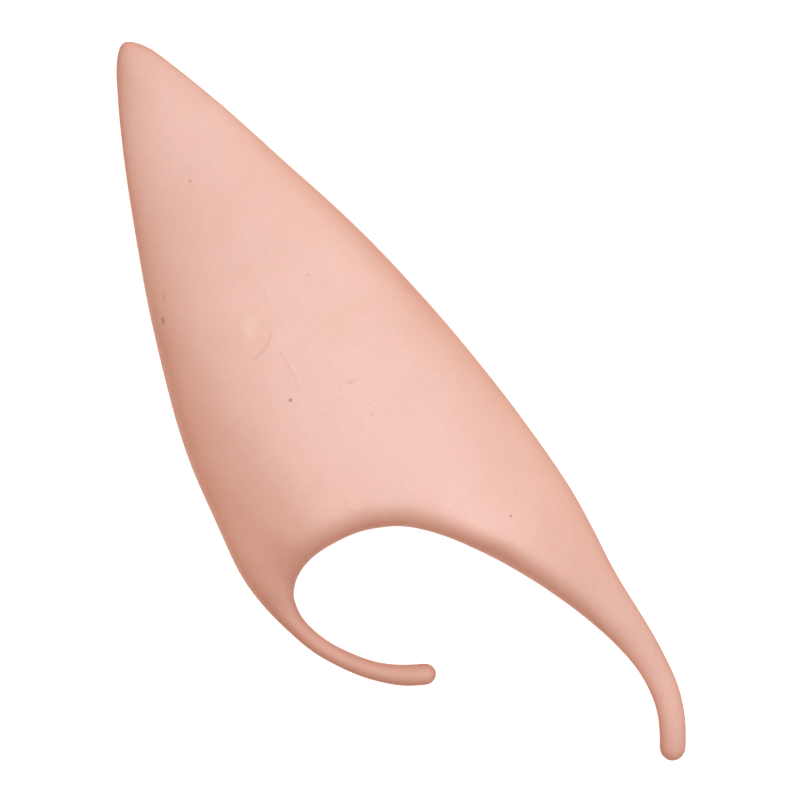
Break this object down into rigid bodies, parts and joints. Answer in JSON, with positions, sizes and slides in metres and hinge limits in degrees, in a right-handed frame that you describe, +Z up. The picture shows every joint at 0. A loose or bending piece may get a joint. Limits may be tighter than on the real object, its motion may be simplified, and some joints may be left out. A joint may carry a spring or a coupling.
{
  "type": "elf ear tip",
  "caption": "Slip-on pointed ear tip cast hollow in soft latex, with an arched mouth that the ear goes into, a short curled hook and a long flat tail.",
  "frame": {"origin": "centre of the bounding box in X and Y, on the surface that the ear lies on", "axes": "+Y along the ear towards its tip, +Z up out of the smooth back face, +X towards the side that the tail is on"},
  "size_m": [0.0456, 0.1276, 0.0175],
  "materials": {
    "latex": "matt skin-toned latex"
  },
  "bodies": {
    "root": {"ear_sheath": "latex"}
  },
  "joints": []
}
